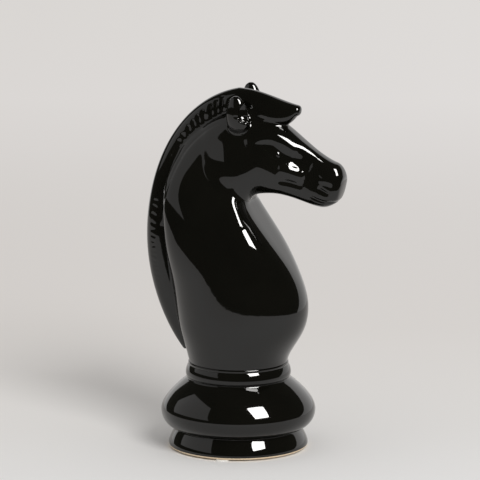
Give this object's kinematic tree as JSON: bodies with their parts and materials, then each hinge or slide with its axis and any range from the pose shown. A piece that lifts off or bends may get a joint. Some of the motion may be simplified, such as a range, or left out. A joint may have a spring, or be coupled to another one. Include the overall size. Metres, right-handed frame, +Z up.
{
  "type": "chess knight ornament",
  "caption": "Hollow glazed ceramic horse head and neck with crest, forelock and ears on a round turned foot with stick-on pads.",
  "frame": {"origin": "on the floor plane under the middle of the whole object's box; the axis of the turned base stands 7.2 mm behind it, at X = -0.0072", "axes": "+Z up, +X the way the horse faces, +Y the horse's left; Y = 0 is the plane of symmetry of the casting"},
  "size_m": [0.1904, 0.1424, 0.338],
  "materials": {
    "black_glaze": "thick gloss black glaze over cream clay, bare at the foot rim",
    "white_felt": "white stick-on felt"
  },
  "bodies": {
    "root": {"horse": "black_glaze", "base": "black_glaze", "mane": "black_glaze", "forelock": "black_glaze", "ear_right": "black_glaze", "ear_left": "black_glaze", "pad_right": "white_felt", "pad_front": "white_felt", "pad_back": "white_felt"}
  },
  "joints": []
}
